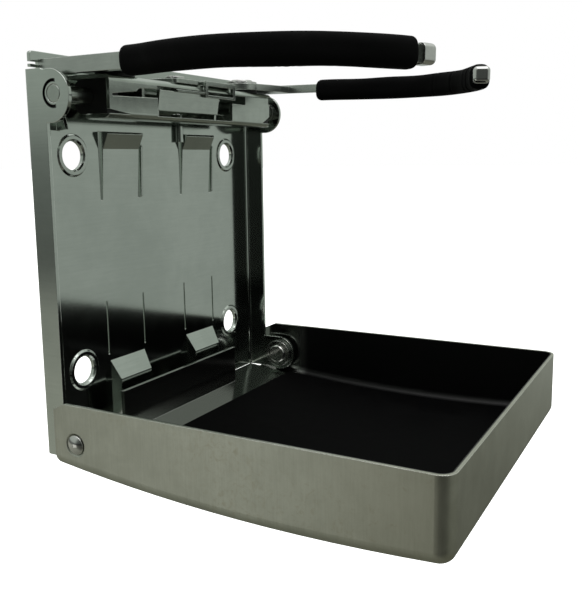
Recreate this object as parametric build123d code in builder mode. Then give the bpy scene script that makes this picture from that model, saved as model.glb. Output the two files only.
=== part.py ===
from build123d import *
from math import cos, radians, sin
import os

# Folding drink holder for a wall: a pressed steel back plate, a tray that folds up from
# its foot, and a carrier at its head whose two padded arms reach round the cup.
# Origin: centre of the screw pattern on the wall face. +X right, +Z up, front at -Y.

# ---- driving dimensions (mm) ----
sheet = 1.0                # steel sheet of plate, tray and carrier
plate_half = 49.75         # outer faces of the plate's side flanges
plate_bottom = -47.0
plate_top = 53.4
flange_front = -7.2        # front edge of the side flanges
flange_top = 48.8
head_half = 47.85          # the plate's head above the flanges is narrower
bend = 2.0                 # outside radius of the pressed bends
screw_x = 35.5             # half the screw pattern
screw_z = 28.5
screw_bore = 7.4
boss_high = 0.45           # raised rims round the screw holes
ear_top_r = 6.3
ear_y = -8.4               # centre of the top ears, just behind and below the rod
ear_z = 42.3
ear_foot_r = 5.8
tab_in = 10.0              # lanced tabs, inner and outer edges
tab_out = 25.5

tray_pin_y = -13.2         # hinge line of the tray
tray_pin_z = -41.8
tray_pin_r = 1.8
tray_half = 52.5
tray_back = -5.6
tray_front = -108.0
tray_rim = -31.9
tray_fillet = 3.6
mat_thick = 0.8

rod_y = -9.8               # hinge line of the arm carrier
rod_z = 42.8
rod_r = 2.1
running_gap = 0.06
droop = 0.9                # arms lie this many degrees below level

carrier_half = 38.8
carrier_front = -7.4       # measured from the rod, as are all carrier and arm sizes
carrier_rear = 6.0
carrier_top = 5.2
carrier_bottom = -5.3

arm_level = 6.63           # middle height of the arm strips
strip_thick = 2.0          # the strips stand on edge
strip_high = 3.8
web_base = 6.0             # flat web between a strip and its pivot
web_thick = 2.0
arm_root = (44.97, 8.3)    # rear end of the right strip, almost at the plate
root_lean = 4.7            # degrees it leans outward
root_long = 28.8           # bare length before the padding
bow = ((35.9, 11.5), (68.2, -16.2), (39.2, -61.7))   # padded arcs: radius, turn
tip_turn = 5.0             # the strip runs on this many degrees inside the tip cap
right_swing = 5.4          # the right arm stands this many degrees further in
arm_pivot_x = 30.0
arm_pivot_y = -1.6
arm_pin_r = 2.0
foam_width = 5.4
foam_height = 6.6
foam_corner = 2.2
cap_size = 4.4             # polished tip caps

# ---- working planes: the rod's frame, tilted by the droop ----
tilt = radians(droop)
fold = Plane(origin=(0, rod_y, rod_z), x_dir=(1, 0, 0), z_dir=(0, -sin(tilt), cos(tilt)))
fold_side = Plane(origin=(0, rod_y, rod_z), x_dir=(0, cos(tilt), sin(tilt)), z_dir=(1, 0, 0))
fold_face = Plane(origin=(0, rod_y, rod_z), x_dir=(1, 0, 0), z_dir=(0, -cos(tilt), -sin(tilt)))

os.makedirs("parts", exist_ok=True)


def finish(piece, name):
    """Label a finished piece and write its STEP file."""
    piece.part.label = name
    export_step(piece.part, f"parts/{name}.step")


# ---- back plate: flat pan, two side flanges with hinge ears, four lanced tabs ----
tab_mid = (tab_in + tab_out) / 2
tab_wide = tab_out - tab_in

with BuildPart() as back_plate:
    with BuildSketch(Plane.XZ):
        with Locations((0, (plate_bottom + flange_top) / 2)):
            Rectangle(2 * plate_half, flange_top - plate_bottom)
    extrude(amount=sheet)
    for side in (-1, 1):
        with BuildSketch(Plane.YZ.offset(side * plate_half)):
            Polygon(
                (0, plate_bottom),
                (0, flange_top),
                (flange_front + 1.2, flange_top),
                (flange_front, flange_top - 1.2),
                (flange_front, plate_bottom),
                align=None,
            )
            with Locations((ear_y, ear_z)):
                Circle(ear_top_r)
            with Locations((tray_pin_y, tray_pin_z)):
                Circle(ear_foot_r)
            with Locations(((ear_y + flange_front) / 2 + 2, ear_z)):
                Rectangle(flange_front - ear_y + 4, 2 * ear_top_r - 0.4)
            with Locations(((tray_pin_y + flange_front) / 2 + 2, tray_pin_z + 0.3)):
                Rectangle(flange_front - tray_pin_y + 4, 2 * ear_foot_r - 0.6)
        extrude(amount=-side * sheet)
    # rounded bends where the flanges leave the pan
    upright = back_plate.edges().filter_by(Axis.Z)
    fillet(upright.filter_by(lambda e: abs(e.center().Y) < 0.01 and e.length > 90), bend)
    fillet(upright.filter_by(lambda e: abs(e.center().Y + sheet) < 0.01 and e.length > 90
                             and abs(e.center().X) < plate_half), bend - sheet)
    # head of the plate, with two small relief slots at each end
    with BuildSketch(Plane.XZ) as head_face:
        with Locations((0, (plate_top + flange_top) / 2)):
            Rectangle(2 * head_half, plate_top - flange_top)
        fillet(head_face.vertices().group_by(Axis.Y)[-1], 0.8)
        for side in (-1, 1):
            for z in (flange_top + 0.5, flange_top + 1.8):
                with Locations((side * head_half, z)):
                    Rectangle(5.0, 0.6, mode=Mode.SUBTRACT)
    extrude(amount=sheet)
    # slits beside the tabs, then the louvred tabs themselves
    with BuildSketch(Plane.XZ):
        for x in (-tab_out, -tab_in, tab_in, tab_out):
            with Locations((x, 25.6)):
                Rectangle(0.8, 18.4)
            with Locations((x, -19.0)):
                Rectangle(0.5, 15.0)
    extrude(amount=sheet, mode=Mode.SUBTRACT)
    for x in (-tab_mid, tab_mid):
        with BuildSketch(Plane.YZ.offset(x - tab_wide / 2 + 0.4)):
            Polygon((-0.5, 16.4), (-1.0, 16.4), (-1.9, 30.2), (-3.7, 34.2), (-3.5, 34.8), (-0.5, 34.8),
                    align=None)
            Polygon((-0.5, -26.0), (-1.0, -28.4), (-4.0, -33.6), (-4.0, -45.6), (-0.5, -45.6), align=None)
        extrude(amount=tab_wide - 0.8)
        # the foot tabs have drafted sides and are hollow behind
        for side in (-1, 1):
            edge = x + side * (tab_wide / 2 - 0.4)
            with BuildSketch(Plane.XY.offset(-46)):
                Polygon((edge, -1), (edge, -4.4), (edge - side * 0.9, -4.4), align=None)
            extrude(amount=20, mode=Mode.SUBTRACT)
        with BuildSketch(Plane.YZ.offset(x - tab_wide / 2 + 1.4)):
            Polygon((0, -29.4), (-0.4, -29.4), (-3.0, -34.0), (-3.0, -44.6), (0, -44.6), align=None)
        extrude(amount=tab_wide - 2.8, mode=Mode.SUBTRACT)
        # low rib beside each upper tab
        with BuildSketch(Plane.YZ.offset(x + tab_wide / 2 + 0.4)):
            Polygon((-0.5, 16.4), (-1.6, 17.0), (-1.9, 24.0), (-2.2, 31.0), (-0.5, 33.0), align=None)
        extrude(amount=0.6)
    # lug below the left ear
    with BuildSketch(Plane.YZ.offset(-40.6)):
        Polygon((-0.5, 34.6), (-3.9, 34.9), (-3.4, 37.0), (-2.2, 40.5), (-0.5, 40.5), align=None)
    extrude(amount=1.2)
    # guide stub between the upper tabs
    with Locations((tab_in - 0.9, -1.9, 36.6)):
        Cylinder(1.15, 8.4)
    # raised screw bosses, their holes and the hinge bores
    for x in (-screw_x, screw_x):
        for z in (-screw_z, screw_z):
            seat = Plane(origin=(x, -sheet, z), x_dir=(1, 0, 0), z_dir=(0, -1, 0))
            with BuildSketch(seat):
                Circle(5.5)
            extrude(amount=boss_high, taper=45)
            with Locations(seat.offset(boss_high)):
                CounterSinkHole(screw_bore / 2, 4.15, depth=sheet + boss_high)
    with BuildSketch(Plane.YZ.offset(-60)):
        with Locations((rod_y, rod_z)):
            Circle(rod_r + running_gap)
        with Locations((tray_pin_y, tray_pin_z)):
            Circle(tray_pin_r + running_gap)
    extrude(amount=120, mode=Mode.SUBTRACT)
    # C-shaped groove pressed round each end of the rod
    for side in (-1, 1):
        with BuildSketch(Plane.YZ.offset(side * plate_half)):
            with Locations((rod_y, rod_z)):
                Circle(3.28)
                Circle(2.72, mode=Mode.SUBTRACT)
            with Locations((rod_y - 2.7, rod_z)):
                Rectangle(4.4, 9, mode=Mode.SUBTRACT)
        extrude(amount=-side * 0.7, mode=Mode.SUBTRACT)
finish(back_plate, "back_plate")

# ---- hinge rod: floats in the ears, kept in place by a collar inside each ear ----
with BuildPart() as hinge_rod:
    with BuildSketch(Plane.YZ.offset(-plate_half)):
        with Locations((rod_y, rod_z)):
            Circle(rod_r)
    extrude(amount=2 * plate_half)
    chamfer(hinge_rod.edges().filter_by(GeomType.CIRCLE), 0.15)
    for x in (-plate_half + sheet + 0.15, plate_half - sheet - 1.15):
        with BuildSketch(Plane.YZ.offset(x)):
            with Locations((rod_y, rod_z)):
                Circle(2.9)
        extrude(amount=1.0)
finish(hinge_rod, "hinge_rod")

# ---- tray: crowned floor, three walls, upturned stop lip at the back ----
floor_radius = 490.0
floor_low_y = -69.0
floor_low_z = -52.2
floor_centre = (floor_low_y, floor_low_z + floor_radius)

def tub(inset, back, rim):
    """Closed tray form, drawn in by inset from the outer faces."""
    with BuildPart() as form:
        with BuildSketch(Plane.YZ.offset(inset - tray_half)):
            Polygon(
                (back, -60),
                (back, rim - 2.0),
                (tray_back - 4.4, rim),
                (tray_front + inset, rim),
                (tray_front + inset, -60),
                align=None,
            )
            with Locations(floor_centre):
                Circle(floor_radius - inset, mode=Mode.INTERSECT)
        extrude(amount=2 * (tray_half - inset))
        fillet(form.edges().filter_by(Axis.Z).group_by(Axis.Y)[0], tray_fillet - inset)
        under = form.faces().sort_by(Axis.Z)[0].edges()
        fillet(under.filter_by(lambda e: e.center().Y < back - 1), tray_fillet - 0.5 - inset)
    return form.part


with BuildPart() as tray_shell:
    add(tub(0, tray_back, tray_rim))
    fillet(tray_shell.edges().filter_by(
        lambda e: abs(e.center().Y - tray_back) < 0.3 and e.center().Z < -47), 1.5)
    add(tub(sheet, 2, tray_rim + 3), mode=Mode.SUBTRACT)
    # stop lip that meets the plate's foot tabs when the tray is down
    with BuildSketch(Plane.XY.offset(tray_rim - 3.7)):
        with Locations((0, -7.4)):
            Rectangle(56, 1.0)
    extrude(until=Until.NEXT, dir=(0, 0, -1))
    # tongue that carries the floor back to the foot of the plate
    with BuildSketch(Plane.YZ.offset(-48)):
        Polygon((-9.0, -48.5), (-1.6, -47.6), (-1.6, -46.8), (-9.0, -47.55), align=None)
    extrude(amount=96)
    # dished rivet seats
    for side in (-1, 1):
        with Locations(Plane(origin=(side * tray_half, tray_pin_y, tray_pin_z),
                             x_dir=(0, 1, 0), z_dir=(side, 0, 0))):
            CounterSinkHole(tray_pin_r, 3.0, depth=5, counter_sink_angle=120)
finish(tray_shell, "tray_shell")

# ---- tray mat: thin pad on the crowned floor ----
with BuildPart() as tray_mat:
    with BuildSketch(Plane.YZ.offset(-47.6)):
        Polygon((-18.0, -60), (-18.0, -40), (-104.2, -40), (-104.2, -60), align=None)
        with Locations(floor_centre):
            Circle(floor_radius - sheet, mode=Mode.INTERSECT)
            Circle(floor_radius - sheet - mat_thick, mode=Mode.SUBTRACT)
    extrude(amount=95.2)
    fillet(tray_mat.edges().filter_by(Axis.Z, tolerance=12).filter_by(
        lambda e: e.length < 2), 2.0)
finish(tray_mat, "tray_mat")

# ---- tray hinge rivets, with a spacer outside each ear and a washer inside it ----
with BuildPart() as tray_rivet_right:
    with BuildSketch(Plane.YZ.offset(plate_half - sheet - 2.2)):
        with Locations((tray_pin_y, tray_pin_z)):
            Circle(tray_pin_r)
    extrude(amount=tray_half - plate_half + sheet + 2.2)
    # domed head outside the tray wall
    with BuildSketch(Plane.XY.offset(tray_pin_z)):
        with BuildLine():
            head_arc = ThreePointArc(
                (tray_half, tray_pin_y - 2.5), (tray_half + 0.9, tray_pin_y), (tray_half, tray_pin_y + 2.5))
            Line(head_arc @ 1, head_arc @ 0)
        make_face()
        with Locations((tray_half, tray_pin_y + 5)):
            Rectangle(4, 10, mode=Mode.SUBTRACT)
    revolve(axis=Axis((0, tray_pin_y, tray_pin_z), (1, 0, 0)))
    # upset tail inside the ear
    with BuildSketch(Plane.YZ.offset(plate_half - sheet - 2.2)):
        with Locations((tray_pin_y, tray_pin_z)):
            Circle(3.1)
    extrude(amount=1.0)
    fillet(tray_rivet_right.edges().filter_by(GeomType.CIRCLE).group_by(Axis.X)[0], 0.6)
finish(tray_rivet_right, "tray_rivet_right")

with BuildPart() as tray_rivet_left:
    mirror(tray_rivet_right.part, about=Plane.YZ)
finish(tray_rivet_left, "tray_rivet_left")

with BuildPart() as tray_spacer_right:
    with BuildSketch(Plane.YZ.offset(plate_half + 0.12)):
        with Locations((tray_pin_y, tray_pin_z)):
            Circle(4.0)
            Circle(tray_pin_r, mode=Mode.SUBTRACT)
    extrude(amount=tray_half - sheet - plate_half - 0.12)
finish(tray_spacer_right, "tray_spacer_right")

with BuildPart() as tray_spacer_left:
    mirror(tray_spacer_right.part, about=Plane.YZ)
finish(tray_spacer_left, "tray_spacer_left")

with BuildPart() as tray_washer_right:
    with BuildSketch(Plane.YZ.offset(plate_half - sheet - 1.2)):
        with Locations((tray_pin_y, tray_pin_z)):
            Circle(4.6)
            Circle(tray_pin_r, mode=Mode.SUBTRACT)
    extrude(amount=1.0)
finish(tray_washer_right, "tray_washer_right")

with BuildPart() as tray_washer_left:
    mirror(tray_washer_right.part, about=Plane.YZ)
finish(tray_washer_left, "tray_washer_left")

# ---- arm carrier: channel open at the back, two front panels either side of a nose ----
nose_in, nose_out = -19.3, 8.6      # ends of the nose plate
gap_in, gap_out = -20.3, 15.5       # the open middle of the front wall
tie_x, tie_y = -6.2, -2.4           # rivet that fixes the tie plate and stop clip

with BuildPart() as arm_carrier:
    with BuildSketch(fold_side.offset(-carrier_half)) as section:
        Polygon(
            (carrier_rear, carrier_top),
            (carrier_front, carrier_top),
            (carrier_front, carrier_bottom),
            (0.4, carrier_bottom),
            (0.4, carrier_bottom + sheet),
            (carrier_front + sheet, carrier_bottom + sheet),
            (carrier_front + sheet, carrier_top - sheet),
            (carrier_rear, carrier_top - sheet),
            align=None,
        )
        fillet(section.vertices().sort_by(Axis.X)[0:2], 1.6)
    extrude(amount=2 * carrier_half)
    # front wall: wedge slot on the left, open middle, notched panel on the right
    with BuildSketch(fold_face.offset(-carrier_front - sheet - 0.05)):
        Polygon((-37.8, 0.6), (-29.0, 1.6), (-27.5, 2.5), (gap_in + 1, 2.9), (gap_in + 1, 0.5), (-37.8, 0.0),
                align=None)
        Polygon((gap_in, -4.2), (gap_in, 3.6), (gap_out, 3.6), (gap_out, -4.2), align=None)
        Polygon((gap_out - 1, 1.0), (gap_out - 1, 3.5), (22.9, 3.5), (22.9, 1.0), align=None)
        Polygon((36.9, 1.8), (36.9, 4.2), (40, 4.2), (40, 1.8), align=None)
        Polygon((37.6, -6), (37.6, 3), (40, 3), (40, -6), align=None)
        Polygon((33.3, -4.2), (37.8, -1.9), (40, -1.9), (40, -4.2), align=None)
        Polygon((-40, -3.2), (-38.8, -3.2), (-31.0, -4.2), (-40, -4.2), align=None)
    extrude(amount=sheet + 1, mode=Mode.SUBTRACT)
    # nose plate, leaning back at its foot, on two short webs
    with BuildSketch(fold_side.offset(nose_in)):
        Polygon((carrier_front, 2.7), (carrier_front + 0.8, -2.6), (carrier_front + 1.8, -2.6),
                (carrier_front + 1.0, 2.7), align=None)
    extrude(amount=nose_out - nose_in)
    for x in (nose_in, nose_out - sheet):
        with BuildSketch(fold_side.offset(x)):
            Polygon((carrier_front + 0.9, 1.0), (carrier_front + 1.4, -4.8), (-1, -4.8), (-1, -4), (-5, 1.0),
                    align=None)
        extrude(amount=sheet)
    # inner cheeks that carry the rod
    for x in (-26.0, 25.0):
        with BuildSketch(fold_side.offset(x)):
            Polygon(
                (3.6, carrier_top - sheet / 2),
                (carrier_front + sheet / 2, carrier_top - sheet / 2),
                (carrier_front + sheet / 2, carrier_bottom + sheet / 2),
                (0, carrier_bottom + sheet / 2),
                (3.6, -1.5),
                align=None,
            )
        extrude(amount=sheet)
    # rod bore, arm pivot holes and the tie rivet's hole
    with BuildSketch(fold_side.offset(-30)):
        Circle(rod_r + running_gap)
    extrude(amount=60, mode=Mode.SUBTRACT)
    with BuildSketch(fold.offset(3)):
        with Locations((-arm_pivot_x, arm_pivot_y), (arm_pivot_x, arm_pivot_y)):
            Circle(arm_pin_r)
        with Locations((tie_x, tie_y)):
            Circle(1.5)
    extrude(amount=4, mode=Mode.SUBTRACT)
finish(arm_carrier, "arm_carrier")

# ---- end bushings: nylon blocks in the ends of the channel, running on the rod ----
with BuildPart() as end_bush_right:
    with BuildSketch(fold_side.offset(34.6)) as bush_side:
        Polygon(
            (carrier_front + sheet + 0.05, carrier_top - sheet - 0.05),
            (carrier_front + sheet + 0.05, carrier_bottom + sheet + 0.05),
            (4.0, carrier_bottom + sheet + 0.05),
            (4.0, carrier_top - sheet - 0.05),
            align=None,
        )
        fillet(bush_side.vertices().group_by(Axis.X)[-1], 2.4)
        Circle(rod_r + running_gap, mode=Mode.SUBTRACT)
    extrude(amount=4.0)
finish(end_bush_right, "end_bush_right")

with BuildPart() as end_bush_left:
    mirror(end_bush_right.part, about=Plane.YZ)
finish(end_bush_left, "end_bush_left")

# ---- stop clip: folded tab over the nose that limits the arms' inward swing ----
clip_left, clip_wide = 0.3, 15.2
clip_top = carrier_top + 1.3
clip_face = carrier_front - 0.05    # back of the clip's front leg

with BuildPart() as stop_clip:
    with BuildSketch(fold_side.offset(clip_left)):
        Polygon(
            (2.0, carrier_top),
            (clip_face, carrier_top),
            (clip_face, 1.9),
            (clip_face - sheet, 1.9),
            (clip_face - sheet, clip_top),
            (2.0, clip_top),
            align=None,
        )
    extrude(amount=clip_wide)
    # window in the front leg
    with BuildSketch(fold_face.offset(-clip_face)):
        with Locations((clip_left + clip_wide / 2, 3.9)):
            Rectangle(clip_wide - 2.2, 2.6)
    extrude(amount=sheet, mode=Mode.SUBTRACT)
    # narrow finger along the front of the channel
    with BuildSketch(fold_side.offset(clip_left - 12.8)):
        Polygon((clip_face, 2.7), (clip_face, 3.3), (clip_face - 0.7, 3.3), (clip_face - 0.7, 2.7),
                align=None)
    extrude(amount=13.8)
finish(stop_clip, "stop_clip")

with BuildPart() as tie_plate:
    with BuildSketch(fold.offset(carrier_top)) as tie_face:
        with Locations((tie_x, tie_y)):
            Rectangle(11.6, 9.6)
        fillet(tie_face.vertices(), 1.5)
        with Locations((tie_x, tie_y)):
            Circle(1.5, mode=Mode.SUBTRACT)
    extrude(amount=1.2)
finish(tie_plate, "tie_plate")

with BuildPart() as tie_rivet:
    with BuildSketch(fold.offset(carrier_top - sheet - 0.7)):
        with Locations((tie_x, tie_y)):
            Circle(1.5)
    extrude(amount=3.0)
    with BuildSketch(fold.offset(carrier_top + 1.2)):
        with Locations((tie_x, tie_y)):
            Circle(2.6)
    extrude(amount=0.9)
finish(tie_rivet, "tie_rivet")


# ---- arms: steel strips on edge that run forward, bow out and close in ----
def chain(start, lean, arcs):
    """Wire of tangent arcs in the arm plane; lean and turns are degrees outward from straight ahead."""
    with BuildLine() as line:
        at, heading = start, (sin(radians(lean)), -cos(radians(lean)))
        for radius, turn in arcs:
            piece = JernArc(at, heading, radius, turn)
            at, heading = piece @ 1, piece % 1
    return line.wire()


lean = radians(root_lean)
foam_start = Vector(arm_root[0] + root_long * sin(lean), arm_root[1] - root_long * cos(lean))
foam_line = chain(foam_start, root_lean, bow)
tip_lean = root_lean + sum(turn for _, turn in bow)
close_radius = bow[2][0]
tip_line = chain(foam_line @ 1, tip_lean, ((close_radius, -tip_turn),))
cap_line = chain(tip_line @ 0.5, tip_lean - tip_turn / 2, ((close_radius, -5.5),))


def along(line, wide, high, corner):
    """Bar of rounded section drawn along a line at the arms' middle height."""
    path = line.moved(fold.offset(arm_level).location)
    with BuildPart() as bar:
        with BuildSketch(Plane(origin=path @ 0, x_dir=fold.z_dir, z_dir=path % 0)):
            RectangleRounded(high, wide, corner)
        sweep(path=path)
    return bar.part


with BuildPart() as arm_form:
    with BuildSketch(fold.offset(arm_level - strip_high / 2)):
        with BuildLine():
            Line(arm_root, foam_start)
        trace(line_width=strip_thick)
        trace(foam_line, line_width=strip_thick)
        trace(tip_line, line_width=strip_thick)
    extrude(amount=strip_high)
    # web to the pivot
    with BuildSketch(fold.offset(web_base)):
        with Locations((arm_pivot_x, arm_pivot_y)):
            Circle(6.0)
        Polygon((30, 4.4), (45.3, 4.4), (46.4, -9.2), (40, -9.8), (30, -7.6), align=None)
    extrude(amount=web_thick)
    with BuildSketch(fold.offset(web_base)):
        with Locations((arm_pivot_x, arm_pivot_y)):
            Circle(arm_pin_r + running_gap)
    extrude(amount=web_thick, mode=Mode.SUBTRACT)

with BuildPart() as sleeve_form:
    add(along(foam_line, foam_width, foam_height, foam_corner))
    add(arm_form.part, mode=Mode.SUBTRACT)

with BuildPart() as cap_form:
    add(along(cap_line, cap_size, cap_size, 1.2))
    fillet(cap_form.faces().sort_by(Axis.X)[0].edges(), 1.1)
    add(arm_form.part, mode=Mode.SUBTRACT)

swing_axis = Axis(fold.from_local_coords((arm_pivot_x, arm_pivot_y, 0)), fold.z_dir)

with BuildPart() as left_arm_bar:
    mirror(arm_form.part, about=Plane.YZ)
finish(left_arm_bar, "left_arm_bar")

with BuildPart() as right_form:
    add(arm_form.part)
    # the right arm's bare strip is shallower, flush with the web's underside
    with BuildSketch(fold.offset(web_base)):
        with Locations((46, (arm_root[1] + foam_start.Y) / 2 + 1)):
            Rectangle(8, root_long + 1.8)
    extrude(amount=-4, mode=Mode.SUBTRACT)

with BuildPart() as right_arm_bar:
    add(right_form.part.rotate(swing_axis, -right_swing))
finish(right_arm_bar, "right_arm_bar")

with BuildPart() as left_foam_sleeve:
    mirror(sleeve_form.part, about=Plane.YZ)
finish(left_foam_sleeve, "left_foam_sleeve")

with BuildPart() as right_foam_sleeve:
    add(sleeve_form.part.rotate(swing_axis, -right_swing))
finish(right_foam_sleeve, "right_foam_sleeve")

with BuildPart() as left_tip_cap:
    mirror(cap_form.part, about=Plane.YZ)
finish(left_tip_cap, "left_tip_cap")

with BuildPart() as right_tip_cap:
    add(cap_form.part.rotate(swing_axis, -right_swing))
finish(right_tip_cap, "right_tip_cap")

# ---- arm pivots: rivet, friction washer below the arm, cap washer above it ----
with BuildPart() as arm_rivet_right:
    with BuildSketch(fold.offset(carrier_top - sheet - 0.9)):
        with Locations((arm_pivot_x, arm_pivot_y)):
            Circle(3.4)
    extrude(amount=0.9)
    with BuildSketch(fold.offset(carrier_top - sheet - 0.5)):
        with Locations((arm_pivot_x, arm_pivot_y)):
            Circle(arm_pin_r)
    extrude(amount=web_base + web_thick + 0.8 - carrier_top + sheet + 0.5)
    with BuildSketch(fold.offset(web_base + web_thick + 0.7)):
        with Locations((arm_pivot_x, arm_pivot_y)):
            Circle(3.4)
    extrude(amount=0.6)
    fillet(arm_rivet_right.edges().filter_by(GeomType.CIRCLE).sort_by(Axis.Z)[-1], 0.4)
finish(arm_rivet_right, "arm_rivet_right")

with BuildPart() as arm_rivet_left:
    mirror(arm_rivet_right.part, about=Plane.YZ)
finish(arm_rivet_left, "arm_rivet_left")

with BuildPart() as friction_washer_right:
    with BuildSketch(fold.offset(carrier_top)):
        with Locations((arm_pivot_x, arm_pivot_y)):
            Circle(5.0)
            Circle(arm_pin_r, mode=Mode.SUBTRACT)
    extrude(amount=web_base - carrier_top - 0.05)
finish(friction_washer_right, "friction_washer_right")

with BuildPart() as friction_washer_left:
    mirror(friction_washer_right.part, about=Plane.YZ)
finish(friction_washer_left, "friction_washer_left")

with BuildPart() as cap_washer_right:
    with BuildSketch(fold.offset(web_base + web_thick + 0.05)):
        with Locations((arm_pivot_x, arm_pivot_y)):
            Circle(4.8)
            Circle(arm_pin_r, mode=Mode.SUBTRACT)
    extrude(amount=0.65)
finish(cap_washer_right, "cap_washer_right")

with BuildPart() as cap_washer_left:
    mirror(cap_washer_right.part, about=Plane.YZ)
finish(cap_washer_left, "cap_washer_left")
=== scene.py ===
import math
import random

import bmesh
import bpy
from mathutils import Matrix, Vector


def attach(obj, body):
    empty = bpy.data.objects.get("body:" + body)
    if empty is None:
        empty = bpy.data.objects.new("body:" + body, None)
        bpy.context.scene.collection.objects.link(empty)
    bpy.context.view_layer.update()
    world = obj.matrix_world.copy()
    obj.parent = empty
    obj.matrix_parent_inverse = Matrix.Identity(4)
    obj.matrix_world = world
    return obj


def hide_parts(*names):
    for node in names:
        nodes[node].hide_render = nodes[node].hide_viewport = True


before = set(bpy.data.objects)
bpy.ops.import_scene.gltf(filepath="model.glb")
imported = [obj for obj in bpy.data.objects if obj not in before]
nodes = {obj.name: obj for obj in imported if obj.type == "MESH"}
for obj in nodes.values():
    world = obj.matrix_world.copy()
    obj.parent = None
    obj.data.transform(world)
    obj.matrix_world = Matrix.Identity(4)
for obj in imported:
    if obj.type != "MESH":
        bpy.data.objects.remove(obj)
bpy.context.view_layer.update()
MM = 0.001

# ================================================================ measures, in mm and degrees
# back plate
ROD_Y, ROD_Z = -9.8, 42.8            # hinge line of the arm carrier
GROOVE_IN, GROOVE_OUT = 2.7, 3.3     # the C groove pressed round the rod's end
GROOVE_BLEND = 0.15, 0.25            # how far its painted shade line fades, inwards and outwards
GROOVE_OPEN = -0.9, -0.5             # the C is open from here forward of the hinge line

# tray: its wall turns the front corners about these centres
CORNER_X, CORNER_Y = 48.9, -104.4
WALL_BLEND = 3.0, 2.75               # inside the wall (2.6 to 3.6 out) the two finishes meet
MAT_BACK = -24.0, -17.0              # the inner floor changes across this from the finish beside the mat to the one behind it
STAIN_FROM, STAIN_TO = -62.0, -108.0  # the tan bloom grows towards the front wall

# arms and their foam, in the right arm's own frame
DROOP = math.radians(0.9)            # the arms lie this far below level
ARM_LEVEL = 6.63                     # middle height of the arm strips above the rod
PIVOT_X, PIVOT_U = 30.0, -1.6
RIGHT_SWING = math.radians(5.4)      # the right arm stands further in
FOAM_START = (47.33, -20.40)         # root end of the right sleeve, across and back
FOAM_LEAN = math.radians(4.7)        # its heading there, outward
ROOT_EXTRA = 0.8                     # the soft end creeps this far up the bare strip
BOW = ((35.9, 11.5, 10), (68.2, -16.2, 18), (39.2, -61.7, 44))   # radius, turn, steps
FOAM_WIDE, FOAM_HIGH = 5.4, 6.6
BORE_WIDE, BORE_HIGH = 2.12, 3.92    # a hair larger than the steel strip
ROOT_CROWN, TIP_CROWN = 1.9, 0.9     # how far the sleeve's ends are rounded over
ROUNDNESS = 2.9                      # 2 would be an ellipse, more is closer to a box
AROUND, ALONG = 48, 330              # points round a ring, rings between the crowns
RIM = (0.0, 0.02, 0.08, 0.18, 0.34, 0.56, 0.80, 1.0)   # rings packed into a crown
WAVES, WAVE_SIZE, WAVE_RATE, MAX_LOBES = 7, (0.01, 0.04), (0.05, 0.35), 3
FOLDS, FOLD_ZONE = 6, (0.50, 0.93)   # creases, in the part of the length that bends most
FOLD_DEPTH, FOLD_WIDE = 0.20, 0.42
SWELL_HIGH, SWELL_WIDE = 0.07, 1.5   # foam pushed up beside each crease

# camera
EYE = (-185.32, -147.14, 27.05)
YAW, PITCH, ROLL = math.radians(61.69), math.radians(8.784), math.radians(-0.621)
FRAME_WIDTH, FOCAL = 590, 770.05     # in one unit, which the shifts below are in too
SHIFT_X, SHIFT_Y = -5.95, -17.3
SENSOR = 36.0


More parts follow.
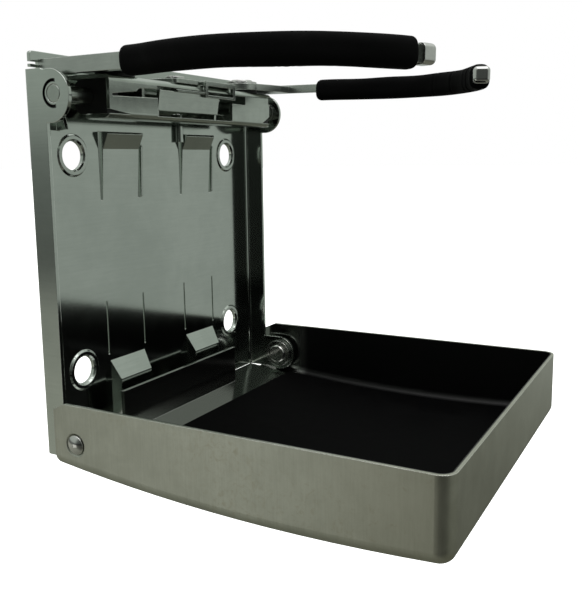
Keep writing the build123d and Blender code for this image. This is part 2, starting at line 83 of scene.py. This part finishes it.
# ================================================================ shader helpers
class Nodes:
    """Short names for building one material's node tree."""

    def __init__(self, name):
        self.mat = bpy.data.materials.new(name)
        self.mat.use_nodes = True
        self.tree = self.mat.node_tree
        self.shader = self.tree.nodes["Principled BSDF"]
        coords = self.tree.nodes.new("ShaderNodeTexCoord")
        scale = self.tree.nodes.new("ShaderNodeVectorMath")
        scale.operation = "SCALE"
        scale.inputs["Scale"].default_value = 1 / MM
        self.link(coords.outputs["Object"], scale.inputs[0])
        self.mm = scale.outputs[0]  # position on the part, in mm

    def link(self, a, b):
        self.tree.links.new(a, b)

    def put(self, socket, value):
        if isinstance(value, (int, float)):
            socket.default_value = value
        elif isinstance(value, tuple):
            socket.default_value = (*value, 1.0) if len(socket.default_value) == 4 else value
        else:
            self.link(value, socket)

    def math(self, op, a, b=0.0, clamp=False):
        n = self.tree.nodes.new("ShaderNodeMath")
        n.operation, n.use_clamp = op, clamp
        self.put(n.inputs[0], a)
        self.put(n.inputs[1], b)
        return n.outputs[0]

    def distance(self, a, b):
        squares = self.math("ADD", self.math("MULTIPLY", a, a), self.math("MULTIPLY", b, b))
        return self.math("SQRT", squares)

    def past(self, value, limit):
        """How far value is beyond limit, never below 0."""
        return self.math("MAXIMUM", self.math("SUBTRACT", value, limit), 0.0)

    def about_half(self, value, amount):
        """A 0 to 1 value turned into a change of up to half of amount either way."""
        return self.math("MULTIPLY", self.math("SUBTRACT", value, 0.5), amount)

    def stretch(self, factors):
        n = self.tree.nodes.new("ShaderNodeVectorMath")
        n.operation = "MULTIPLY"
        self.link(self.mm, n.inputs[0])
        n.inputs[1].default_value = factors
        return n.outputs[0]

    def noise(self, scale, detail, rough, offset, vector=None, distort=0.0):
        n = self.tree.nodes.new("ShaderNodeTexNoise")
        n.noise_dimensions = "4D"
        self.link(vector or self.mm, n.inputs["Vector"])
        n.inputs["W"].default_value = offset
        n.inputs["Scale"].default_value = scale
        n.inputs["Detail"].default_value = detail
        n.inputs["Roughness"].default_value = rough
        n.inputs["Distortion"].default_value = distort
        return n.outputs["Fac"]

    def cells(self, scale):
        n = self.tree.nodes.new("ShaderNodeTexVoronoi")
        self.link(self.mm, n.inputs["Vector"])
        n.inputs["Scale"].default_value = scale
        return n.outputs["Distance"]

    def span(self, value, low, high, to_low=0.0, to_high=1.0):
        n = self.tree.nodes.new("ShaderNodeMapRange")
        n.interpolation_type = "SMOOTHSTEP"
        self.put(n.inputs["Value"], value)
        limits = {"From Min": low, "From Max": high, "To Min": to_low, "To Max": to_high}
        for key, v in limits.items():
            n.inputs[key].default_value = v
        return n.outputs["Result"]

    def mix(self, factor, a, b):
        n = self.tree.nodes.new("ShaderNodeMix")
        n.data_type = "RGBA"
        self.put(n.inputs[0], factor)
        self.put(n.inputs[6], a)
        self.put(n.inputs[7], b)
        return n.outputs[2]

    def axes(self):
        n = self.tree.nodes.new("ShaderNodeSeparateXYZ")
        self.link(self.mm, n.inputs[0])
        return n.outputs

    def facing_up(self):
        geometry = self.tree.nodes.new("ShaderNodeNewGeometry")
        split = self.tree.nodes.new("ShaderNodeSeparateXYZ")
        self.link(geometry.outputs["Normal"], split.inputs[0])
        return split.outputs[2]

    def edge(self, radius):
        """1 on sharp edges, 0 on flats, from the difference a small bevel would make."""
        bevel = self.tree.nodes.new("ShaderNodeBevel")
        bevel.samples = 6
        bevel.inputs["Radius"].default_value = radius * MM
        flat = self.tree.nodes.new("ShaderNodeNewGeometry")
        dot = self.tree.nodes.new("ShaderNodeVectorMath")
        dot.operation = "DOT_PRODUCT"
        self.link(bevel.outputs[0], dot.inputs[0])
        self.link(flat.outputs["Normal"], dot.inputs[1])
        return self.span(dot.outputs["Value"], 0.995, 0.90), bevel.outputs[0]

    def bump(self, height, strength, distance, normal=None):
        n = self.tree.nodes.new("ShaderNodeBump")
        n.inputs["Strength"].default_value = strength
        n.inputs["Distance"].default_value = distance * MM
        self.link(height, n.inputs["Height"])
        if normal is not None:
            self.link(normal, n.inputs["Normal"])
        return n.outputs["Normal"]

    def finish(self, color, roughness, normal, metallic=0.0, ior=1.5):
        s = self.shader.inputs
        self.put(s["Base Color"], color)
        self.put(s["Roughness"], roughness)
        s["Metallic"].default_value = metallic
        s["IOR"].default_value = ior
        self.link(normal, s["Normal"])
        return self.mat


# ================================================================ materials
def tray_inside(n, color, roughness, beside_mat, behind_mat):
    """The tray's inner faces: dark and rough beside the mat, lighter and smoother behind it.

    The two finishes, beside the mat and behind it, are each a (roughness, colour)."""
    x, y, _ = n.axes()
    ahead = n.math("SUBTRACT", CORNER_Y, y)
    reach = n.distance(n.past(n.math("ABSOLUTE", x), CORNER_X), n.math("MAXIMUM", ahead, 0.0))
    # the outside of the floor faces down, so it keeps the outer finish
    within = n.math("MULTIPLY", n.span(reach, *WALL_BLEND), n.span(n.facing_up(), -0.3, -0.1))
    behind = n.span(y, *MAT_BACK)
    roughness = n.mix(within, roughness, n.mix(behind, (beside_mat[0],) * 3, (behind_mat[0],) * 3))
    return n.mix(within, color, n.mix(behind, beside_mat[1], behind_mat[1])), roughness


def groove_painted_shade(n, color):
    """Painted shade in the C grooves round the rod's ends, where the gap's shadow falls."""
    _, y, z = n.axes()
    dy, dz = n.math("SUBTRACT", y, ROD_Y), n.math("SUBTRACT", z, ROD_Z)
    reach = n.distance(dy, dz)
    ring = n.math("MULTIPLY", n.span(reach, GROOVE_IN - GROOVE_BLEND[0], GROOVE_IN),
                  n.span(reach, GROOVE_OUT + GROOVE_BLEND[1], GROOVE_OUT))
    ring = n.math("MULTIPLY", ring, n.span(dy, *GROOVE_OPEN))
    return n.mix(ring, color, (0.012, 0.013, 0.012))


def steel(name, light, dark, edge_highlight_wear, rough, rough_vary, grain, grain_bump, blotch=0.5,
          warm=None, inside=None, shade_grooves=False):
    """Sheet or bar steel: cloudy tone, fine grain, handling smudges and brighter edges, partly
    rubbed and partly a painted highlight.

    grain is how much the fine lines are drawn out along X, Y and Z. warm is the tone of tan
    bloom. inside is the tray's inner finish, as tray_inside takes it. The last flag paints
    shade into the C grooves round the rod."""
    n = Nodes(name)
    clouds = n.noise(0.035, 4.0, 0.6, offset=3.1)
    patches = n.noise(0.16, 5.0, 0.62, offset=7.7, distort=0.6)
    lines = n.noise(1.0, 2.0, 0.5, vector=n.stretch(grain), offset=1.3)
    smear = n.noise(0.45, 6.0, 0.7, offset=12.4, distort=1.5)

    cloudy = n.math("MULTIPLY", clouds, blotch)
    tone = n.math("ADD", cloudy, n.math("MULTIPLY", patches, 1 - blotch))
    tone = n.math("ADD", tone, n.about_half(lines, 0.22))
    color = n.mix(n.span(tone, 0.28, 0.72), dark, light)
    if warm is not None:
        stain = n.math("MULTIPLY", n.span(smear, 0.46, 0.70), n.span(clouds, 0.40, 0.62))
        front = n.span(n.axes()[1], STAIN_FROM, STAIN_TO, 0.0, 0.55)
        stain = n.math("MAXIMUM", stain, front)
        color = n.mix(n.math("MULTIPLY", stain, 0.55), color, warm)

    # edges painted brighter: a painted highlight broken up by noise like rubbed metal; the same
    # mask also makes them glossier
    edges, rounded = n.edge(0.25)
    highlight_and_wear = n.math("MULTIPLY", edges, n.span(n.noise(1.4, 3.0, 0.6, offset=5.5), 0.25, 0.60))
    color = n.mix(n.math("MULTIPLY", highlight_and_wear, 0.75), color, edge_highlight_wear)

    uneven = n.math("ADD", n.about_half(patches, rough_vary), n.about_half(smear, rough_vary * 0.6))
    roughness = n.math("ADD", uneven, rough)
    if inside is not None:
        color, roughness = tray_inside(n, color, roughness, **inside)
    # painted shade darkens the C grooves round the rod, where the gap's shadow falls
    if shade_grooves:
        color = groove_painted_shade(n, color)
    roughness = n.math("SUBTRACT", roughness, n.math("MULTIPLY", highlight_and_wear, 0.08), clamp=True)
    return n.finish(color, roughness, n.bump(lines, grain_bump, 0.02, rounded), metallic=1.0)


def foam():
    """Closed-cell foam: matt black skin with fine pores, faint scuffs and a dusty sheen."""
    n = Nodes("foam_black")
    pores = n.cells(3.2)
    fine = n.noise(5.0, 4.0, 0.6, offset=2.0)
    scuff = n.noise(0.10, 5.0, 0.65, offset=9.0, distort=0.8)
    dust = n.math("MULTIPLY", n.span(scuff, 0.50, 0.72), n.span(fine, 0.35, 0.65))
    color = n.mix(n.math("MULTIPLY", dust, 0.35), (0.0030, 0.0030, 0.0032), (0.011, 0.011, 0.012))
    pits = n.span(pores, 0.05, 0.30)
    height = n.math("ADD", n.math("MULTIPLY", pits, 0.5), n.math("MULTIPLY", fine, 0.6))
    roughness = n.span(scuff, 0.3, 0.7, 0.72, 0.88)
    return n.finish(color, roughness, n.bump(height, 0.35, 0.10), ior=1.16)


def rubber(name, dark, light, rough, stipple_scale, stipple_bump, ior):
    """Moulded rubber or nylon: stippled, with slightly polished patches."""
    n = Nodes(name)
    stipple = n.noise(stipple_scale, 3.0, 0.6, offset=4.0)
    patch = n.noise(0.08, 4.0, 0.6, offset=8.0, distort=0.5)
    color = n.mix(n.span(patch, 0.35, 0.7), dark, light)
    roughness = n.span(patch, 0.3, 0.7, *rough)
    return n.finish(color, roughness, n.bump(stipple, stipple_bump, 0.06), ior=ior)


PLATE = steel("steel_plate", light=(0.540, 0.580, 0.540), dark=(0.455, 0.495, 0.458),
              edge_highlight_wear=(0.86, 0.88, 0.84), rough=0.110, rough_vary=0.05,
              grain=(0.10, 0.10, 2.2), grain_bump=0.05, blotch=0.7, shade_grooves=True)
TRAY = steel("steel_tray", light=(0.560, 0.575, 0.510), dark=(0.415, 0.426, 0.372),
             edge_highlight_wear=(0.88, 0.88, 0.83), rough=0.380, rough_vary=0.12,
             grain=(3.4, 3.4, 0.16), grain_bump=0.22, blotch=0.45, warm=(0.38, 0.35, 0.26),
             inside={"beside_mat": (0.42, (0.026, 0.026, 0.026)), "behind_mat": (0.14, (0.36, 0.37, 0.35))})
CARRIER = steel("steel_carrier", light=(0.520, 0.560, 0.515), dark=(0.400, 0.435, 0.400),
                edge_highlight_wear=(0.84, 0.86, 0.82), rough=0.220, rough_vary=0.10,
                grain=(0.16, 2.4, 2.4), grain_bump=0.10)
ARM = steel("steel_arm", light=(0.560, 0.590, 0.555), dark=(0.430, 0.455, 0.430),
            edge_highlight_wear=(0.86, 0.87, 0.84), rough=0.240, rough_vary=0.10,
            grain=(2.0, 0.2, 2.0), grain_bump=0.10)
PIN = steel("steel_pin", light=(0.720, 0.720, 0.700), dark=(0.560, 0.560, 0.545),
            edge_highlight_wear=(0.90, 0.90, 0.88), rough=0.120, rough_vary=0.08,
            grain=(1.5, 1.5, 1.5), grain_bump=0.06)
FOAM = foam()
MAT = rubber("rubber_mat", dark=(0.0012, 0.0012, 0.0013), light=(0.0026, 0.0026, 0.0027),
             rough=(0.66, 0.80), stipple_scale=2.2, stipple_bump=0.25, ior=1.10)
NYLON = rubber("nylon_washer", dark=(0.008, 0.008, 0.008), light=(0.016, 0.016, 0.0155),
               rough=(0.42, 0.55), stipple_scale=1.2, stipple_bump=0.12, ior=1.40)

LOOKS = (
    (PLATE, ("back_plate",)),
    (TRAY, ("tray_shell",)),
    (MAT, ("tray_mat",)),
    (CARRIER, ("arm_carrier", "hinge_rod", "stop_clip", "tie_plate")),
    (ARM, ("left_arm_bar", "right_arm_bar")),
    (PIN, ("tray_rivet_left", "tray_rivet_right", "tray_washer_left", "tray_washer_right",
           "tie_rivet", "arm_rivet_left", "arm_rivet_right", "cap_washer_left",
           "cap_washer_right", "left_tip_cap", "right_tip_cap")),
    (NYLON, ("tray_spacer_left", "tray_spacer_right", "friction_washer_left",
             "friction_washer_right", "end_bush_left", "end_bush_right")),
)
for look, names in LOOKS:
    for name in names:
        slots = nodes[name].data.materials
        slots.clear()
        slots.append(look)


def place(name, data):
    obj = bpy.data.objects.new(name, data)
    bpy.context.scene.collection.objects.link(obj)
    return obj


# ================================================================ foam sleeves
def sleeve_line():
    """Centre line of the right arm's padded stretch: (across, back, heading, length so far)."""
    x, u, heading, gone = *FOAM_START, FOAM_LEAN, ROOT_EXTRA
    line = [(x - gone * math.sin(heading), u + gone * math.cos(heading), heading, 0.0),
            (x, u, heading, gone)]
    for radius, turn, steps in BOW:
        step = math.radians(turn) / steps
        side = math.copysign(radius, turn)
        for _ in range(steps):
            x += side * (math.cos(heading) - math.cos(heading + step))
            u -= side * (math.sin(heading + step) - math.sin(heading))
            heading += step
            gone += abs(radius * step)
            line.append((x, u, heading, gone))
    return line


def point_at(line, d):
    """Across, back and heading at length d along the line."""
    for a, b in zip(line, line[1:]):
        if d <= b[3] or b is line[-1]:
            t = (d - a[3]) / (b[3] - a[3])
            return [a[k] + (b[k] - a[k]) * t for k in range(3)]


def to_row(x, u, v, side, swing):
    """A point (across, back, up from the rod) of the right arm's frame, in the row frame, metres.

    side is -1 to mirror it to the left arm."""
    dx, du = x - PIVOT_X, u - PIVOT_U
    x = PIVOT_X + dx * math.cos(swing) + du * math.sin(swing)
    u = PIVOT_U - dx * math.sin(swing) + du * math.cos(swing)
    return Vector((side * x, ROD_Y + u * math.cos(DROOP) - v * math.sin(DROOP),
                   ROD_Z + u * math.sin(DROOP) + v * math.cos(DROOP))) * MM


def ring_angle(i):
    return 2 * math.pi * i / AROUND


def ring_shape():
    """Outline of the foam's section: (across, up) in half widths, a soft rounded rectangle."""
    out = []
    for i in range(AROUND):
        c, s = math.cos(ring_angle(i)), math.sin(ring_angle(i))
        reach = (abs(c) ** ROUNDNESS + abs(s) ** ROUNDNESS) ** (-1 / ROUNDNESS)
        out.append((c * reach, s * reach))
    return out


def skin(bm, a, b, inward=False):
    """Faces between two rings, wound the other way for the bore."""
    for i in range(AROUND):
        j = (i + 1) % AROUND
        bm.faces.new((a[i], b[i], b[j], a[j]) if inward else (a[i], a[j], b[j], b[i]))


def sleeve(name, side, swing, node, body, seed):
    """Foam tube pushed over the strip: crowned ends, creases inside the bend, worn waviness."""
    rnd = random.Random(seed)
    line = sleeve_line()
    total = line[-1][3]
    shape = ring_shape()
    waves = [(rnd.uniform(*WAVE_SIZE), rnd.uniform(*WAVE_RATE), rnd.uniform(0, 6.3),
              rnd.randint(0, MAX_LOBES)) for _ in range(WAVES)]
    folds = sorted(rnd.uniform(*FOLD_ZONE) * total for _ in range(FOLDS))

    plain = total - ROOT_CROWN - TIP_CROWN
    stations = [ROOT_CROWN * t for t in RIM]
    stations += [ROOT_CROWN + plain * i / ALONG for i in range(1, ALONG)]
    stations += [total - TIP_CROWN * t for t in reversed(RIM)]

    bm = bmesh.new()

    def unevenness(d, i):
        """Outward change of the foam's surface at length d and ring point i."""
        grow = sum(amp * math.sin(freq * d + phase + lobe * ring_angle(i))
                   for amp, freq, phase, lobe in waves)
        inner = max(0.0, -shape[i][0])
        for fold in folds:
            grow -= FOLD_DEPTH * inner * math.exp(-((d - fold) / FOLD_WIDE) ** 2)
            grow += SWELL_HIGH * inner * math.exp(-((d - fold) / SWELL_WIDE) ** 2)
        return grow

    def ring(d, wide, high, wavy):
        x, u, heading = point_at(line, d)
        crown, end = (ROOT_CROWN, d) if d < total / 2 else (TIP_CROWN, total - d)
        short = max(0.0, 1 - end / crown)
        pinch = 1 - (crown / (FOAM_WIDE / 2)) * (1 - math.sqrt(1 - short * short))
        pinch_high = 1 - (1 - pinch) * FOAM_WIDE / FOAM_HIGH
        verts = []
        for i, (c, s) in enumerate(shape):
            grow = unevenness(d, i) if wavy else 0.0
            across = c * (wide / 2 * pinch + grow)
            up = s * (high / 2 * pinch_high + grow)
            px = x + across * math.cos(heading)
            pu = u + across * math.sin(heading)
            verts.append(bm.verts.new(to_row(px, pu, ARM_LEVEL + up, side, swing)))
        return verts

    outer = [ring(d, FOAM_WIDE, FOAM_HIGH, True) for d in stations]
    bore = [ring(d, BORE_WIDE, BORE_HIGH, False)
            for d in (stations[0], *stations[10:-10:6], stations[-1])]
    for a, b in zip(outer, outer[1:]):
        skin(bm, a, b)
    for rim, hole in ((outer[0], bore[0]), (outer[-1], bore[-1])):
        skin(bm, rim, hole, inward=True)
    for a, b in zip(bore, bore[1:]):
        skin(bm, a, b, inward=True)
    bmesh.ops.recalc_face_normals(bm, faces=bm.faces)

    mesh = bpy.data.meshes.new(name)
    bm.to_mesh(mesh)
    bm.free()
    for poly in mesh.polygons:
        poly.use_smooth = True
    mesh.materials.append(FOAM)
    obj = place(name, mesh)
    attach(obj, body)
    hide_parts(node)


sleeve("left_sleeve_soft", -1, 0.0, "left_foam_sleeve", "left_arm", 11)
sleeve("right_sleeve_soft", 1, RIGHT_SWING, "right_foam_sleeve", "right_arm", 23)


# ================================================================ stage, light and camera
# What the steel mirrors, by height: stops at the cosine from straight down (-1) to straight up.
# In front of the plate is an even grey room over a darker, tan floor.
AHEAD = (
    (-1.0, (0.17, 0.175, 0.14)), (-0.62, (0.16, 0.165, 0.13)), (-0.42, (0.125, 0.130, 0.108)),
    (-0.32, (0.17, 0.178, 0.150)), (-0.22, (0.40, 0.43, 0.40)), (0.35, (0.46, 0.50, 0.46)),
    (0.75, (0.80, 0.84, 0.80)), (1.0, (1.0, 1.0, 1.0)))
# To the left is a dim band a little below the horizon.
BESIDE = (
    (-1.0, (0.20, 0.205, 0.17)), (-0.50, (0.32, 0.33, 0.28)), (-0.30, (0.40, 0.41, 0.355)),
    (-0.20, (0.33, 0.34, 0.30)), (-0.12, (0.125, 0.134, 0.122)), (-0.02, (0.165, 0.180, 0.165)),
    (0.10, (0.42, 0.46, 0.42)), (0.40, (0.46, 0.50, 0.46)), (1.0, (1.0, 1.0, 1.0)))
LEFT = (-0.88, 0.47, 0)
LEFT_SHARE = ((-0.15, (0, 0, 0)), (0.45, (1, 1, 1)))
# Behind the camera is the unlit side of the room.
UNLIT = (-0.86, -0.50, -0.05)
UNLIT_SHADE = ((-1.0, (1.0, 1.0, 1.0)), (0.50, (1.0, 1.0, 1.0)),
               (0.90, (0.20, 0.20, 0.20)), (1.0, (0.15, 0.15, 0.15)))


def world_light():
    world = bpy.data.worlds.new("studio")
    bpy.context.scene.world = world
    world.use_nodes = True
    t = world.node_tree
    t.nodes.clear()
    out = t.nodes.new("ShaderNodeOutputWorld")
    coords = t.nodes.new("ShaderNodeTexCoord")

    def dot(direction):
        d = t.nodes.new("ShaderNodeVectorMath")
        d.operation = "DOT_PRODUCT"
        t.links.new(coords.outputs["Generated"], d.inputs[0])
        d.inputs[1].default_value = Vector(direction).normalized()
        return d.outputs["Value"]

    def ramp(value, stops):
        r = t.nodes.new("ShaderNodeValToRGB")
        r.color_ramp.interpolation = "EASE"
        m = t.nodes.new("ShaderNodeMapRange")
        t.links.new(value, m.inputs["Value"])
        m.inputs["From Min"].default_value = -1.0
        while len(r.color_ramp.elements) < len(stops):
            r.color_ramp.elements.new(0.5)
        for e, (pos, color) in zip(r.color_ramp.elements, stops):
            e.position = (pos + 1) / 2
            e.color = (*color, 1.0)
        t.links.new(m.outputs["Result"], r.inputs["Fac"])
        return r.outputs["Color"]

    def blend(kind, one, two):
        m = t.nodes.new("ShaderNodeMix")
        m.data_type, m.blend_type = "RGBA", kind
        m.inputs[0].default_value = 1.0
        t.links.new(one, m.inputs[6])
        t.links.new(two, m.inputs[7])
        return m

    def background(color):
        b = t.nodes.new("ShaderNodeBackground")
        if isinstance(color, tuple):
            b.inputs["Color"].default_value = color
        else:
            t.links.new(color, b.inputs["Color"])
        return b.outputs[0]

    height = dot((0, 0, 1))
    sky = blend("MIX", ramp(height, AHEAD), ramp(height, BESIDE))
    t.links.new(ramp(dot(LEFT), LEFT_SHARE), sky.inputs[0])
    shade = blend("MULTIPLY", sky.outputs[2], ramp(dot(UNLIT), UNLIT_SHADE))

    # plain white paper is seen behind the part
    seen = t.nodes.new("ShaderNodeLightPath")
    pick = t.nodes.new("ShaderNodeMixShader")
    t.links.new(seen.outputs["Is Camera Ray"], pick.inputs["Fac"])
    t.links.new(background(shade.outputs[2]), pick.inputs[1])
    t.links.new(background((1.0, 1.0, 1.0, 1.0)), pick.inputs[2])
    t.links.new(pick.outputs[0], out.inputs["Surface"])


def area(name, at, aim, wide, high, watts, color=(1, 1, 1)):
    data = bpy.data.lights.new(name, "AREA")
    data.shape, data.size, data.size_y = "RECTANGLE", wide, high
    data.energy, data.color = watts, color
    lamp = place(name, data)
    lamp.location = at
    lamp.rotation_euler = (Vector(aim) - Vector(at)).to_track_quat("-Z", "Y").to_euler()


def floor(level, half_width):
    mesh = bpy.data.meshes.new("floor")
    bm = bmesh.new()
    bmesh.ops.create_grid(bm, x_segments=8, y_segments=8, size=half_width)
    bm.to_mesh(mesh)
    bm.free()
    obj = place("floor", mesh)
    obj.location = (0, 0, level)
    mat = bpy.data.materials.new("floor_pale")
    mat.use_nodes = True
    s = mat.node_tree.nodes["Principled BSDF"].inputs
    s["Base Color"].default_value = (0.9, 0.9, 0.89, 1)
    s["Roughness"].default_value = 0.9
    s["Emission Color"].default_value = (1, 1, 1, 1)
    s["Emission Strength"].default_value = 0.9
    mesh.materials.append(mat)
    obj.visible_glossy = obj.visible_diffuse = False


def camera():
    data = bpy.data.cameras.new("camera")
    cam = place("camera", data)
    ahead = Vector((math.sin(YAW) * math.cos(PITCH), math.cos(YAW) * math.cos(PITCH),
                    -math.sin(PITCH)))
    right = Vector((math.cos(YAW), -math.sin(YAW), 0))
    up = right.cross(ahead)
    rolled_right = right * math.cos(ROLL) + up * math.sin(ROLL)
    rolled_up = up * math.cos(ROLL) - right * math.sin(ROLL)
    turn = Matrix((rolled_right, rolled_up, -ahead)).transposed().to_4x4()
    cam.matrix_world = Matrix.Translation(Vector(EYE) * MM) @ turn
    data.sensor_fit, data.sensor_width = "AUTO", SENSOR
    data.lens = FOCAL / FRAME_WIDTH * SENSOR
    data.shift_x, data.shift_y = SHIFT_X / FRAME_WIDTH, SHIFT_Y / FRAME_WIDTH
    data.clip_start, data.clip_end = 0.005, 100.0
    bpy.context.scene.camera = cam


world_light()
floor(level=-0.35, half_width=30.0)
area("top_softbox", at=(-0.15, -0.25, 0.75), aim=(0, -0.05, 0), wide=0.7, high=0.7, watts=2.0)
area("left_softbox", at=(-0.76, 0.34, -0.28), aim=(-0.05, -0.04, -0.04), wide=0.40, high=0.24,
     watts=0.13, color=(1.0, 0.995, 0.95))
camera()
bpy.context.scene.view_settings.view_transform = "Standard"
bpy.context.scene.view_settings.look = "None"
